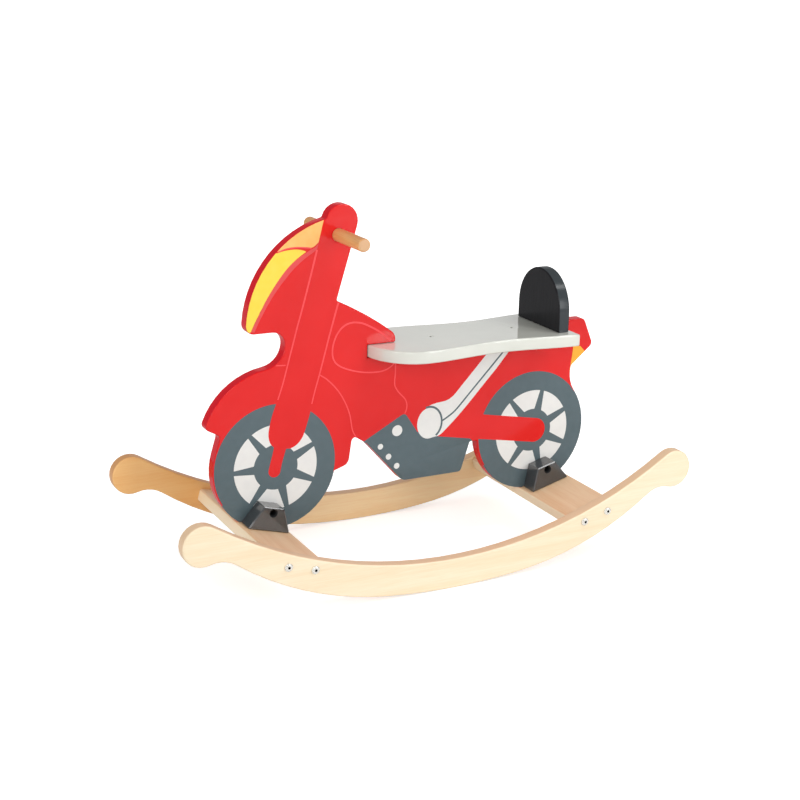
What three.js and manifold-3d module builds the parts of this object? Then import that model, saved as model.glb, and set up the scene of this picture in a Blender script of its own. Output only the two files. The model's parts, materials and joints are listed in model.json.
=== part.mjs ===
// A child's wooden rocking motorcycle. One board, cut out as the side of a motorcycle, stands on two
// cross boards between a pair of rockers, and a seat board lies in a slot under its tank.
// Millimetres, +Z up, front towards -X, left side towards -Y, origin on the floor in the middle.
import * as THREE from "three";
import { mergeVertices } from "three/addons/utils/BufferGeometryUtils.js";
import Module from "manifold-3d";

const wasm = await Module();
wasm.setup();

// Clearances and how fine the round shapes are
const fitGap = 0.3; // between pieces that touch, and round everything that sits in a hole
const overrun = 5; // how far a cutting tool stands out of what it cuts
const facetSag = 0.2; // largest distance between an arc and its facets
const leastStep = 0.03; // outline points closer than this become one
const weldGap = 1e-4; // facet corners closer than this become one
const roundSides = 32; // sides of the handlebar and its hole
const boltSides = 12; // sides of bolts, nuts, screws and their holes
const dowelEndSteps = 3; // facets across the rounding of the handlebar's ends
const seatSteps = 18; // facets along a side of the seat, and round half of its nose

// Rockers
const rockerLength = 775;
const rockerSpread = 306; // over the outer faces
const rockerThickness = 18;
const rockerDepth = 42.7; // sole to top edge in the middle
const rockerEdge = 2.5; // rounding of the long edges
const soleFlat = 26; // short flat in the middle of the sole, on which the toy comes to rest
const soleMiddle = 200; // length of the flatter middle stretch
const soleRadius = 950; // of the middle stretch
const soleEndRadius = 450; // of the stretches towards the ends
const rockerTopRadius = 640;
const knobRadius = 27.8; // round end of a rocker
const toeRadius = 40; // hollow under the round end

// Cross boards
const boardTilt = THREE.MathUtils.degToRad(15);
const boardWidth = 72;
const boardThickness = 18;
const boardEdge = 3;
const boardSink = 6.3; // top of the board below the top edge of the rocker

// Body panel, with heights counted from the line through both axles
const panelThickness = 18;
const panelEdge = 1.5;
const wheelbase = 406;
const wheelRadius = 90;
const wheelFlat = 6.8; // how much of the round wheel is cut off where it stands on its board
const seatRise = 156; // axle line to the top of the seat
const headX = -106.4; // middle of the round head
const headRise = 329;
const headRadius = 23.5;
const neckLean = THREE.MathUtils.degToRad(16.5);
const tankRise = 66; // seat to the foot of the neck
const neckFillet = 3.5;
const tankRadius = 448; // long swell of the top of the tank
const tankTipRise = 11.6; // corner of the tank tip above the seat
const tankTipRoundShare = 1.2; // rounding of that corner, as a share of its height
const slotDepth = 42.4; // how far the seat goes in under the tank
const smallRound = 2.2; // rounding of the small corners at the slot, the tail and the engine
const windscreenRadius = 149;
const windscreenFillet = 3;
const noseGap = 97; // top of the front wheel to the underside of the nose
const noseOverhang = 41.7; // nose ahead of the front axle
const noseRound = 12;
const notchInset = 16.2; // hollow behind the nose, behind the front axle
const notchTopRound = 18;
const notchBottomRound = 32;
const fenderLift = 17; // swell of the fender outside the wheel's circle
const fenderRound = 7; // corners of the fender tip
const lobeRound = 12; // corner of the lobe behind the front wheel
const crotchFillet = 5;
const engineRound = 6;
const sumpRound = 13;
const tailRise = 4.5; // top of the tail above the seat
const tailLength = 61.7;
const tailRound = 8;
const tailHollowRadius = 48; // hollow between the tail and the rear wheel
const tailFillet = 6;

// Seat board and backrest
const seatThickness = 18;
const seatEdge = 2.5;
const seatFrontX = -66;
const seatLength = 304.5;
const seatNose = 66; // length of the rounded front
const seatWidth = 142; // behind the nose and again at the back
const seatWaist = 118;
const backrestHeight = 84;
const backrestWidth = 110;
const backrestThickness = 18;
const backrestStraight = 26; // height of the upright sides
const backrestInset = 8.3; // behind the backrest, to the back of the seat
const backrestEdge = 2;

// Handlebar
const handlebarRadius = 9;
const handlebarLength = 176;
const handlebarRound = 3; // rounding of its ends
const handlebarDrop = 17.5; // below the middle of the head
const handlebarShift = 5.2; // ahead of the middle of the head

// Blocks that hold the panel on the cross boards
const bracketFoot = 62;
const bracketTop = 30;
const bracketHeight = 33;
const bracketDepth = 28;
const bracketRound = 1.5;
const bracketBoltRise = 26; // bolt hole above the cross board
const bracketWeb = 14; // what is left of the block under the bolt head

// Fasteners
const rockerBolt = {
  radius: 3,
  length: 60,
  headRadius: 6.5,
  headHeight: 2.4,
  socket: 2.3,
  socketDepth: 1.6,
};
const rockerBoltSpacing = 39;
const barrelNut = { radius: 5, length: 12, endMargin: 8 };
const panelBolt = { radius: 2.5, headRadius: 4, headHeight: 4, socket: 2, socketDepth: 2 };
const panelNut = { radius: 4, length: 5 };
const counterboreGap = 0.5; // round the heads and nuts in the blocks
const seatScrew = { radius: 2, length: 50, headRadius: 4, headHeight: 2.4, tip: 4, rim: 0.5 };
const backrestScrew = { radius: 2, length: 45, headRadius: 4, headHeight: 2.4, tip: 4, rim: 0.5 };
const bracketScrew = { radius: 2, length: 30, headRadius: 4, headHeight: 2.4, tip: 4, rim: 0.5 };
const handlebarScrew = { radius: 1.75, length: 26, headRadius: 3.5, headHeight: 2.1, tip: 4, rim: 0.5 };
const headRecess = 0.4; // screw heads lie this far below the surface
const bracketScrewSpacing = 40;
const seatScrewFrontX = 36;
const seatScrewRearX = 168;
const backrestScrewSpacing = 64;

// Outline tables. Each row is one corner: a share of the first size named, then of the second.
const boltDomeShares = [[0.7, 1], [0.92, 0.6], [1, 0]]; // head radius, head height
const fenderTopShares = [0.131, 0.738]; // wheel radius, height of the nose
const fenderShares = [[-1.116, 0.722], [-0.869, 0.589]]; // wheel radius, both ways
const engineShares = [
  // half the gap between the wheels, wheel radius
  [-0.825, -0.13],
  [-0.774, 0.322],
  [-0.575, 0.156],
  [-0.071, -0.544],
  [0.765, -0.544],
  [0.889, -0.056],
];
const tailTopShare = 0.79; // of the tail's length, corner at its top
const tailTipShares = [1.065, 0.771]; // tail's length, height of the seat above the axles
const tailHollowShares = [0.731, 1.009]; // wheel radius, both ways
const windscreenAngle = THREE.MathUtils.degToRad(167.4); // where the windscreen meets the head
const fenderAngle = THREE.MathUtils.degToRad(162.3); // where the fender leaves the front wheel
const lobeAngle = THREE.MathUtils.degToRad(-12.1); // where the lobe leaves the front wheel
const tailAngle = THREE.MathUtils.degToRad(36); // where the tail leaves the rear wheel

// Places worked out from the sizes above
const rockerInner = rockerSpread / 2 - rockerThickness;
const rockerMidY = rockerInner + rockerThickness / 2;
const soleCentre = Math.sqrt(soleRadius ** 2 - (soleFlat / 2) ** 2);
const topCentre = rockerDepth + rockerTopRadius;
const standHeight = wheelRadius - wheelFlat; // axle to the flat, square to the cross board
const boardX = wheelbase / 2 + standHeight * Math.sin(boardTilt);
const boardZ = topCentre - Math.sqrt(rockerTopRadius ** 2 - boardX ** 2) - boardSink;
const axleZ = boardZ + (standHeight + fitGap) * Math.cos(boardTilt);
const counterboreRadius = Math.max(panelBolt.headRadius, panelNut.radius) + counterboreGap;
const seatUnder = seatRise - seatThickness;
const neckFoot = seatRise + tankRise;
const noseRise = wheelRadius + noseGap;
const fenderRadius = wheelRadius + fenderLift;
const tankTipRound = tankTipRoundShare * tankTipRise;
const seatRearX = seatFrontX + seatLength;
const backrestX = seatRearX - backrestInset - backrestThickness / 2;
const handlebarX = headX - handlebarShift;
const handlebarRise = headRise - handlebarDrop;

// Turns a closed three.js geometry into a solid that can be cut.
function solidFrom(geometry) {
  const bare = geometry.clone();
  bare.deleteAttribute("normal");
  bare.deleteAttribute("uv");
  const merged = mergeVertices(bare, weldGap);
  return new wasm.Manifold(
    new wasm.Mesh({
      numProp: 3,
      vertProperties: new Float32Array(merged.attributes.position.array),
      triVerts: new Uint32Array(merged.index.array),
    }),
  );
}

// Turns a cut solid back into a three.js geometry.
function geometryFrom(solid) {
  const mesh = solid.getMesh();
  const geometry = new THREE.BufferGeometry();
  geometry.setAttribute("position", new THREE.BufferAttribute(mesh.vertProperties, 3));
  geometry.setIndex(new THREE.BufferAttribute(mesh.triVerts, 1));
  geometry.computeVertexNormals();
  return geometry;
}

// One corner of an outline: its place, the radius that rounds it, and the radius of the arc to the
// next corner. A positive arc swells outwards, a negative one inwards, and 0 is a straight edge.
function corner(x, y, round = 0, arc = 0) {
  return { at: new THREE.Vector2(x, y), round, arc };
}

// The corner at an angle on a circle, followed by an arc of that circle.
function cornerOn(centre, radius, angle, round = 0) {
  const x = centre.x + radius * Math.cos(angle);
  const y = centre.y + radius * Math.sin(angle);
  return corner(x, y, round, radius);
}

// The edge from one corner to the next: a line, or an arc with its centre.
function edgeBetween(from, to) {
  const along = to.at.clone().sub(from.at);
  const left = new THREE.Vector2(-along.y, along.x).normalize();
  if (!from.arc) return { start: from.at, end: to.at, left, along: along.clone().normalize() };
  const turn = Math.sign(from.arc);
  const radius = Math.abs(from.arc);
  const rise = Math.sqrt(radius ** 2 - along.lengthSq() / 4);
  const centre = from.at.clone().add(to.at).divideScalar(2).addScaledVector(left, turn * rise);
  return { start: from.at, end: to.at, centre, radius, turn };
}

// The direction in which an edge passes one of its points.
function heading(edge, point) {
  if (!edge.centre) return edge.along;
  const out = point.clone().sub(edge.centre).normalize();
  return new THREE.Vector2(-out.y, out.x).multiplyScalar(edge.turn);
}

// The same edge moved to its left.
function movedLeft(edge, distance) {
  if (edge.centre) return { ...edge, radius: edge.radius - edge.turn * distance };
  return { ...edge, start: edge.start.clone().addScaledVector(edge.left, distance) };
}

// The point of an edge that is nearest to another point.
function footOn(edge, point) {
  const from = edge.centre ?? edge.start;
  const offset = point.clone().sub(from);
  if (edge.centre) return from.clone().addScaledVector(offset.normalize(), edge.radius);
  return from.clone().addScaledVector(edge.along, offset.dot(edge.along));
}

// Where two edges meet, taking the meeting point nearest to a given one.
function meeting(a, b, near) {
  if (!a.centre && !b.centre) {
    const gap = b.start.clone().sub(a.start);
    return a.start.clone().addScaledVector(a.along, gap.cross(b.along) / a.along.cross(b.along));
  }
  const round = a.centre ? a : b;
  const other = a.centre ? b : a;
  let foot;
  let across;
  if (other.centre) {
    const span = other.centre.clone().sub(round.centre);
    const reach = (span.lengthSq() + round.radius ** 2 - other.radius ** 2) / (2 * span.length());
    span.normalize();
    foot = round.centre.clone().addScaledVector(span, reach);
    across = new THREE.Vector2(-span.y, span.x);
  } else {
    foot = footOn(other, round.centre);
    across = other.along;
  }
  const half = Math.sqrt(round.radius ** 2 - foot.distanceToSquared(round.centre));
  const ends = [half, -half].map((step) => foot.clone().addScaledVector(across, step));
  return ends[0].distanceTo(near) < ends[1].distanceTo(near) ? ends[0] : ends[1];
}

// The arc that rounds the corner between two edges.
function filletBetween(before, after, round) {
  const at = after.start;
  const turn = Math.sign(heading(before, at).cross(heading(after, at)));
  const centre = meeting(movedLeft(before, turn * round), movedLeft(after, turn * round), at);
  return { centre, radius: round, turn, start: footOn(before, centre), end: footOn(after, centre) };
}

// Points along an edge, fine enough for the facets to stay close to the arc.
function pointsAlong(edge) {
  if (!edge.centre) return [edge.start, edge.end];
  const from = edge.start.clone().sub(edge.centre).angle();
  const to = edge.end.clone().sub(edge.centre).angle();
  const sweep = THREE.MathUtils.euclideanModulo((to - from) * edge.turn, 2 * Math.PI);
  const steps = Math.ceil(sweep / (2 * Math.acos(1 - facetSag / edge.radius)));
  return Array.from({ length: steps + 1 }, (_, i) => {
    const angle = from + (edge.turn * sweep * i) / steps;
    return corner(
      edge.centre.x + edge.radius * Math.cos(angle),
      edge.centre.y + edge.radius * Math.sin(angle),
    ).at;
  });
}

// The closed outline through a list of corners, anticlockwise, as a shape.
function outlineOf(corners) {
  const next = (i) => (i + 1) % corners.length;
  const edges = corners.map((from, i) => edgeBetween(from, corners[next(i)]));
  const fillets = corners.map(({ round }, i) => {
    const before = edges[(i + corners.length - 1) % corners.length];
    return round ? filletBetween(before, edges[i], round) : null;
  });
  const points = [];
  edges.forEach((edge, i) => {
    const start = fillets[i]?.end ?? edge.start;
    const end = fillets[next(i)]?.start ?? edge.end;
    points.push(...pointsAlong({ ...edge, start, end }));
    if (fillets[next(i)]) points.push(...pointsAlong(fillets[next(i)]));
  });
  const apart = points.filter((point, i) => {
    return point.distanceTo(points[(i + 1) % points.length]) > leastStep;
  });
  return new THREE.Shape(apart);
}

// A half outline from the foot to the top on the right, with its mirror image added.
function mirrored(half) {
  const left = half.map((c, i) => corner(-c.at.x, c.at.y, c.round, i ? half[i - 1].arc : 0));
  return [...half, ...left.reverse()];
}

// A board cut to a shape in its own plane, centred on its thickness, with rounded edges.
function board(shape, thickness, edge) {
  const depth = thickness - 2 * edge;
  const geometry = new THREE.ExtrudeGeometry(shape, {
    depth,
    bevelEnabled: edge > 0,
    bevelThickness: edge,
    bevelSize: edge,
    bevelOffset: -edge,
    bevelSegments: 2,
  });
  return geometry.translate(0, 0, -depth / 2);
}

// Stands a flat geometry upright, facing sideways.
function facingSide(geometry) {
  return geometry.rotateX(Math.PI / 2);
}

// Stands a flat geometry upright, facing forwards.
function facingFront(geometry) {
  return geometry.rotateX(Math.PI / 2).rotateZ(Math.PI / 2);
}

// A solid turned about the Y axis, from [radius, height] pairs that start and end on the axis.
function turned(profile, sides) {
  const points = profile.map(([radius, height]) => new THREE.Vector2(radius, height));
  return new THREE.LatheGeometry(points, sides);
}

// Carries a geometry made along +Y to a place and a direction.
function aimed(geometry, place, direction) {
  const turn = new THREE.Quaternion().setFromUnitVectors(up, direction.clone().normalize());
  return geometry.applyQuaternion(turn).translate(place.x, place.y, place.z);
}
const up = new THREE.Vector3(0, 1, 0);

// Countersunk screw with its head at the origin and its point towards +Y. Grown by a gap, and with
// an overrun above the head, the same profile is its hole.
function screw({ radius, length, headRadius, headHeight, tip, rim }, gap = 0, above = 0) {
  const profile = [
    [0, -above],
    [headRadius + gap, -above],
    [headRadius + gap, rim + gap],
    [radius + gap, headHeight + gap],
    [radius + gap, length - tip + gap],
    [0, length + gap],
  ];
  return turned(profile, boltSides);
}

// Bolt with a domed head and a hexagon socket, its head seat at the origin, shank towards +Y.
function bolt({ radius, length, headRadius, headHeight, socket, socketDepth }) {
  const dome = boltDomeShares.map(([out, high]) => [out * headRadius, -high * headHeight]);
  const profile = [[0, -headHeight], ...dome, [radius, 0], [radius, length], [0, length]];
  const hexagon = new THREE.CylinderGeometry(socket, socket, 2 * socketDepth, 6);
  hexagon.translate(0, -headHeight, 0);
  return geometryFrom(solidFrom(turned(profile, boltSides)).subtract(solidFrom(hexagon)));
}

// A round pin from the origin towards +Y.
function pin(radius, length, sides = boltSides) {
  return new THREE.CylinderGeometry(radius, radius, length, sides).translate(0, length / 2, 0);
}

// A ring from the origin towards +Y.
function ring(radius, bore, length) {
  const profile = [
    [bore, 0],
    [radius, 0],
    [radius, length],
    [bore, length],
    [bore, 0],
  ];
  return turned(profile, boltSides);
}

const materials = {
  red: new THREE.MeshStandardMaterial({ color: 0xe83232, roughness: 0.3, metalness: 0 }),
  grey: new THREE.MeshStandardMaterial({ color: 0xc8cac6, roughness: 0.15, metalness: 0 }),
  black: new THREE.MeshStandardMaterial({ color: 0x28282a, roughness: 0.45, metalness: 0 }),
  wood: new THREE.MeshStandardMaterial({ color: 0xf5e3c3, roughness: 0.5, metalness: 0 }),
  darkWood: new THREE.MeshStandardMaterial({ color: 0xe6a064, roughness: 0.5, metalness: 0 }),
  steel: new THREE.MeshStandardMaterial({ color: 0xc4c6c8, roughness: 0.3, metalness: 1 }),
};

// The toy is three nested assemblies: the rockers on the floor, a tilted seat for each wheel on its
// cross board, and the body at axle height.
const toy = new THREE.Group();
const body = new THREE.Group();
body.position.z = axleZ;
toy.add(body);
const stands = [
  { end: "front", side: -1 },
  { end: "rear", side: 1 },
].map(({ end, side }) => {
  const home = new THREE.Group();
  home.position.set(side * boardX, 0, boardZ);
  home.rotation.y = -side * boardTilt;
  toy.add(home);
  return { end, side, home };
});
toy.updateMatrixWorld(true);

function addPiece(home, name, geometry, material) {
  const mesh = new THREE.Mesh(geometry, material);
  mesh.name = name;
  home.add(mesh);
}

// Takes holes out of a piece. The piece and each hole lie in the frame of their own group.
function drilled(home, geometry, holes) {
  const toHome = home.matrixWorld.clone().invert();
  const cuts = holes.map((hole) => {
    const tool = hole.geometry.clone().applyMatrix4(hole.home.matrixWorld);
    return solidFrom(tool.applyMatrix4(toHome));
  });
  return geometryFrom(cuts.reduce((solid, cut) => solid.subtract(cut), solidFrom(geometry)));
}

// A countersunk screw set into a surface, with the hole that it needs.
function setScrew(home, name, kind, place, direction) {
  const sunk = place.clone().addScaledVector(direction, headRecess);
  addPiece(home, name, aimed(screw(kind), sunk, direction), materials.steel);
  return { home, geometry: aimed(screw(kind, fitGap, overrun), sunk, direction) };
}

// Rocker bolts and their barrel nuts, two at each end of each cross board
const sides = [
  { hand: "left", sign: -1 },
  { hand: "right", sign: 1 },
];
const rockerHoles = { left: [], right: [] };
const boardHoles = { front: [], rear: [] };
for (const { end, side, home } of stands) {
  for (const { hand, sign } of sides) {
    for (const [row, step] of [["upper", side], ["lower", -side]]) {
      const x = (step * rockerBoltSpacing) / 2;
      const z = -boardThickness / 2;
      const inward = new THREE.Vector3(0, -sign, 0);
      const seat = new THREE.Vector3(x, sign * (rockerSpread / 2 + fitGap), z);
      const where = `${end}_${hand}_${row}`;
      addPiece(home, `rocker_bolt_${where}`, aimed(bolt(rockerBolt), seat, inward), materials.steel);
      const bore = pin(rockerBolt.radius + fitGap, overrun + rockerBolt.length + fitGap);
      aimed(bore, seat.clone().addScaledVector(inward, -overrun), inward);
      rockerHoles[hand].push({ home, geometry: bore });
      boardHoles[end].push({ home, geometry: bore });

      const nutY = sign * (rockerSpread / 2 + fitGap - rockerBolt.length + barrelNut.endMargin);
      const nutTop = new THREE.Vector3(x, nutY, z + barrelNut.length / 2);
      const down = new THREE.Vector3(0, 0, -1);
      const blank = aimed(pin(barrelNut.radius, barrelNut.length), nutTop, down);
      const nut = drilled(home, blank, [{ home, geometry: bore }]);
      addPiece(home, `barrel_nut_${where}`, nut, materials.steel);
      const nutHole = pin(barrelNut.radius + fitGap, boardThickness + overrun);
      nutTop.z += fitGap;
      boardHoles[end].push({ home, geometry: aimed(nutHole, nutTop, down) });
    }
  }
}

// Rockers: every arc of the outline runs into the next one
function rockerShape() {
  const sole = new THREE.Vector2(0, soleCentre);
  const joint = Math.asin(soleMiddle / 2 / soleRadius);
  const outward = new THREE.Vector2(Math.sin(joint), -Math.cos(joint));
  const soleJoint = sole.clone().addScaledVector(outward, soleRadius);
  const endCentre = sole.clone().addScaledVector(outward, soleRadius - soleEndRadius);
  const knobX = rockerLength / 2 - knobRadius;
  const knobZ = topCentre - Math.sqrt((rockerTopRadius + knobRadius) ** 2 - knobX ** 2);
  const knob = new THREE.Vector2(knobX, knobZ);
  const below = new THREE.Vector2(knobX, 0);
  const toe = meeting(
    { centre: endCentre, radius: soleEndRadius + toeRadius },
    { centre: knob, radius: knobRadius + toeRadius },
    below,
  );
  const toeStart = footOn({ centre: endCentre, radius: soleEndRadius }, toe);
  const knobStart = footOn({ centre: knob, radius: knobRadius }, toe);
  const topStart = footOn({ centre: knob, radius: knobRadius }, new THREE.Vector2(0, topCentre));
  const half = [
    corner(soleFlat / 2, 0, 0, soleRadius),
    corner(soleJoint.x, soleJoint.y, 0, soleEndRadius),
    corner(toeStart.x, toeStart.y, 0, -toeRadius),
    corner(knobStart.x, knobStart.y, 0, knobRadius),
    corner(knob.x + knobRadius, knob.y, 0, knobRadius),
    corner(topStart.x, topStart.y, 0, -rockerTopRadius),
  ];
  return outlineOf(mirrored(half));
}
for (const { hand, sign } of sides) {
  const blank = facingSide(board(rockerShape(), rockerThickness, rockerEdge));
  blank.translate(0, sign * rockerMidY, 0);
  addPiece(toy, `rocker_${hand}`, drilled(toy, blank, rockerHoles[hand]), materials.wood);
}

// Blocks on the cross boards, their screws from below, and the bolt through blocks and panel
const panelHoles = [];
for (const { end, home } of stands) {
  const inner = panelThickness / 2 + fitGap;
  const clamp = inner + bracketWeb;
  const boltHole = pin(panelBolt.radius + fitGap, 2 * (inner + bracketDepth));
  const leftwards = new THREE.Vector3(0, -1, 0);
  const upwards = new THREE.Vector3(0, 0, 1);
  aimed(boltHole, new THREE.Vector3(0, inner + bracketDepth, bracketBoltRise), leftwards);
  panelHoles.push({ home, geometry: boltHole });

  const half = [
    corner(bracketFoot / 2, 0),
    corner(bracketTop / 2, bracketHeight, bracketRound),
  ];
  const section = outlineOf(mirrored(half));
  for (const { hand, sign } of sides) {
    const outward = new THREE.Vector3(0, sign, 0);
    const block = facingSide(board(section, bracketDepth, 0));
    block.translate(0, sign * (inner + bracketDepth / 2), fitGap);
    const holes = [{ home, geometry: boltHole }];
    const counterbore = pin(counterboreRadius, bracketDepth);
    const floor = new THREE.Vector3(0, sign * clamp, bracketBoltRise);
    holes.push({ home, geometry: aimed(counterbore, floor, outward) });
    for (const [row, step] of [["a", -1], ["b", 1]]) {
      const x = (step * bracketScrewSpacing) / 2;
      const place = new THREE.Vector3(x, sign * (inner + bracketDepth / 2), -boardThickness);
      const name = `bracket_screw_${end}_${hand}_${row}`;
      const hole = setScrew(home, name, bracketScrew, place, upwards);
      holes.push(hole);
      boardHoles[end].push(hole);
    }
    addPiece(home, `bracket_${end}_${hand}`, drilled(home, block, holes), materials.black);
  }

  const seat = new THREE.Vector3(0, -clamp - fitGap, bracketBoltRise);
  const length = 2 * (clamp + fitGap) + panelNut.length;
  const across = new THREE.Vector3(0, 1, 0);
  const through = aimed(bolt({ ...panelBolt, length }), seat, across);
  addPiece(home, `panel_bolt_${end}`, through, materials.steel);
  const nut = ring(panelNut.radius, panelBolt.radius + fitGap, panelNut.length);
  const nutSeat = new THREE.Vector3(0, clamp + fitGap, bracketBoltRise);
  addPiece(home, `panel_nut_${end}`, aimed(nut, nutSeat, across), materials.steel);
}

// Cross boards, with rounded long edges
for (const { end, home } of stands) {
  const half = [
    corner(boardWidth / 2, -boardThickness, boardEdge),
    corner(boardWidth / 2, 0, boardEdge),
  ];
  const blank = facingSide(board(outlineOf(mirrored(half)), 2 * (rockerInner - fitGap), 0));
  addPiece(home, `crossboard_${end}`, drilled(home, blank, boardHoles[end]), materials.wood);
}

// Handlebar: a dowel with rounded ends, kept from sliding by a screw from the edge behind it
const neckNormal = new THREE.Vector3(Math.cos(neckLean), 0, -Math.sin(neckLean));
const handlebarPlace = new THREE.Vector3(handlebarX, 0, handlebarRise);
const headOffset = new THREE.Vector3(handlebarShift, 0, handlebarDrop);
const neckReach = headRadius + headOffset.dot(neckNormal);
const edgeBehind = handlebarPlace.clone().addScaledVector(neckNormal, neckReach);
const handlebarScrewHole = setScrew(
  body, "handlebar_screw", handlebarScrew, edgeBehind, neckNormal.clone().negate(),
);
const handlebarEnd = new THREE.Vector3(handlebarX, -handlebarLength / 2, handlebarRise);
function handlebar() {
  const end = [];
  for (let i = 0; i <= dowelEndSteps; i++) {
    const angle = ((i / dowelEndSteps) * Math.PI) / 2;
    const radius = handlebarRadius - handlebarRound + handlebarRound * Math.sin(angle);
    end.push([radius, handlebarRound - handlebarRound * Math.cos(angle)]);
  }
  const far = end.map(([radius, height]) => [radius, handlebarLength - height]).reverse();
  return turned([[0, 0], ...end, ...far, [0, handlebarLength]], roundSides);
}
addPiece(
  body,
  "handlebar",
  drilled(body, aimed(handlebar(), handlebarEnd, up), [handlebarScrewHole]),
  materials.darkWood,
);
const handlebarHole = pin(handlebarRadius + fitGap, handlebarLength, roundSides);
aimed(handlebarHole, handlebarEnd, up);
panelHoles.push(handlebarScrewHole, { home: body, geometry: handlebarHole });

// Seat board: an elliptical nose, then sides that draw in to a waist and widen again
function seatShape() {
  const shape = new THREE.Shape();
  const wide = seatWidth / 2;
  const draw = (seatWidth - seatWaist) / 4;
  const waistLength = seatLength - seatNose;
  const right = [];
  for (let i = 0; i <= seatSteps; i++) {
    const share = i / seatSteps;
    const y = wide - draw + draw * Math.cos(2 * Math.PI * share);
    right.push([seatRearX - waistLength * share, y]);
  }
  shape.moveTo(seatRearX, -right[0][1]);
  shape.lineTo(...right[0]);
  right.slice(1).forEach((point) => shape.lineTo(...point));
  for (let i = 1; i < 2 * seatSteps; i++) {
    const angle = Math.PI / 2 + (Math.PI * i) / (2 * seatSteps);
    shape.lineTo(seatFrontX + seatNose + seatNose * Math.cos(angle), wide * Math.sin(angle));
  }
  right.reverse().slice(0, -1).forEach(([x, y]) => shape.lineTo(x, -y));
  return shape;
}
const seatHoles = [];
const down = new THREE.Vector3(0, 0, -1);
for (const [end, x] of [["front", seatScrewFrontX], ["rear", seatScrewRearX]]) {
  const place = new THREE.Vector3(x, 0, seatRise);
  const hole = setScrew(body, `seat_screw_${end}`, seatScrew, place, down);
  seatHoles.push(hole);
  panelHoles.push(hole);
}

// Backrest: upright sides under an elliptical top, screwed on from below the seat
function backrestShape() {
  const half = backrestWidth / 2;
  const shape = new THREE.Shape();
  shape.moveTo(-half, 0);
  shape.lineTo(half, 0);
  shape.lineTo(half, backrestStraight);
  shape.absellipse(0, backrestStraight, half, backrestHeight - backrestStraight, 0, Math.PI);
  return shape;
}
const backrestHoles = sides.map(({ hand, sign }) => {
  const place = new THREE.Vector3(backrestX, (sign * backrestScrewSpacing) / 2, seatUnder);
  return setScrew(body, `backrest_screw_${hand}`, backrestScrew, place, new THREE.Vector3(0, 0, 1));
});
const backrestBlank = facingFront(board(backrestShape(), backrestThickness, backrestEdge));
backrestBlank.translate(backrestX, 0, seatRise + fitGap);
addPiece(body, "backrest", drilled(body, backrestBlank, backrestHoles), materials.black);
const seatBlank = board(seatShape(), seatThickness, seatEdge);
seatBlank.translate(0, 0, seatRise - seatThickness / 2);
const seat = drilled(body, seatBlank, [...seatHoles, ...backrestHoles]);
addPiece(body, "seat_board", seat, materials.grey);

// Body panel: one outline, anticlockwise from the back of the neck
function panelShape() {
  const front = new THREE.Vector2(-wheelbase / 2, 0);
  const rear = new THREE.Vector2(wheelbase / 2, 0);
  const head = new THREE.Vector2(headX, headRise);
  const halfGap = wheelbase / 2 - wheelRadius;
  const halfFlat = Math.acos(standHeight / wheelRadius);
  const frontDown = -Math.PI / 2 - boardTilt;
  const rearDown = -Math.PI / 2 + boardTilt;
  const fenderTop = [
    front.x + fenderTopShares[0] * wheelRadius,
    fenderTopShares[1] * noseRise,
  ];
  const [fenderTip, fenderFoot] = fenderShares.map(([x, z]) => [
    front.x + x * wheelRadius,
    z * wheelRadius,
  ]);
  const engine = engineShares.map(([x, z]) => [x * halfGap, z * wheelRadius]);
  const [lobe, crotch, cylinder, sumpFront, sumpRear, gapTop] = engine;
  const gapAngle = Math.PI + Math.asin(-gapTop[1] / wheelRadius);
  const bed = seatUnder - fitGap;
  const slotTop = seatRise + fitGap;
  const tipX = seatFrontX + slotDepth;
  const tailX = seatRearX + fitGap;
  const neckX = headX + headRadius / Math.cos(neckLean) + (neckFoot - headRise) * Math.tan(neckLean);
  const corners = [
    cornerOn(head, headRadius, -neckLean),
    cornerOn(head, headRadius, Math.PI / 2),
    { ...cornerOn(head, headRadius, windscreenAngle, windscreenFillet), arc: windscreenRadius },
    corner(front.x - noseOverhang, noseRise, noseRound),
    corner(front.x + notchInset, noseRise, notchTopRound),
    corner(...fenderTop, notchBottomRound, fenderRadius),
    corner(...fenderTip, fenderRound),
    corner(...fenderFoot, fenderRound),
    cornerOn(front, wheelRadius, fenderAngle),
    { ...cornerOn(front, wheelRadius, frontDown - halfFlat), arc: 0 },
    cornerOn(front, wheelRadius, frontDown + halfFlat),
    { ...cornerOn(front, wheelRadius, lobeAngle), arc: 0 },
    corner(...lobe, lobeRound),
    corner(...crotch, crotchFillet),
    corner(...cylinder, engineRound),
    corner(...sumpFront, sumpRound),
    corner(...sumpRear, engineRound),
    corner(...gapTop, smallRound),
    cornerOn(rear, wheelRadius, gapAngle, smallRound),
    { ...cornerOn(rear, wheelRadius, rearDown - halfFlat), arc: 0 },
    cornerOn(rear, wheelRadius, rearDown + halfFlat),
    { ...cornerOn(rear, wheelRadius, tailAngle), arc: -tailHollowRadius },
    corner(rear.x + tailHollowShares[0] * wheelRadius, tailHollowShares[1] * wheelRadius, tailFillet),
    corner(tailX + tailTipShares[0] * tailLength, tailTipShares[1] * seatRise, tailRound),
    corner(tailX + tailTopShare * tailLength, seatRise + tailRise, tailRound),
    corner(tailX, seatRise + tailRise, smallRound),
    corner(tailX, bed),
    corner(seatFrontX - fitGap, bed),
    corner(seatFrontX - fitGap, slotTop),
    corner(tipX, slotTop, smallRound),
    corner(tipX, seatRise + tankTipRise, tankTipRound, tankRadius),
    corner(neckX, neckFoot, neckFillet),
  ];
  return outlineOf(corners);
}
const panelBlank = facingSide(board(panelShape(), panelThickness, panelEdge));
addPiece(body, "body_panel", drilled(body, panelBlank, panelHoles), materials.red);

export default toy;
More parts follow.
